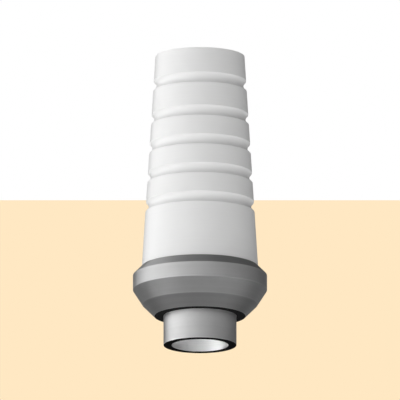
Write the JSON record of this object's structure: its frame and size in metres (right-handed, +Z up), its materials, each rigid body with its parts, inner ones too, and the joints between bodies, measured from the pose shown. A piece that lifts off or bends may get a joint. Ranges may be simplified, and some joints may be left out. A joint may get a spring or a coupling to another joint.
{
  "type": "castable dental abutment",
  "caption": "Castable non-engaging implant abutment: turned metal base with round spigot, flat seat and flared collar, under a ringed burn-out plastic sleeve.",
  "frame": {"origin": "centre of the spigot's lower end, the lowest face of the part", "axes": "+Z up the common axis, from the spigot to the sleeve's open rim; X and Y are free because the part is round"},
  "size_m": [0.0044, 0.0044, 0.0099],
  "materials": {
    "base_alloy": "grey cobalt-chrome, finely turned, satin",
    "sleeve_plastic": "white burn-out acetal, smooth, low sheen"
  },
  "bodies": {
    "root": {"metal_base": "base_alloy", "castable_sleeve": "sleeve_plastic"}
  },
  "joints": []
}
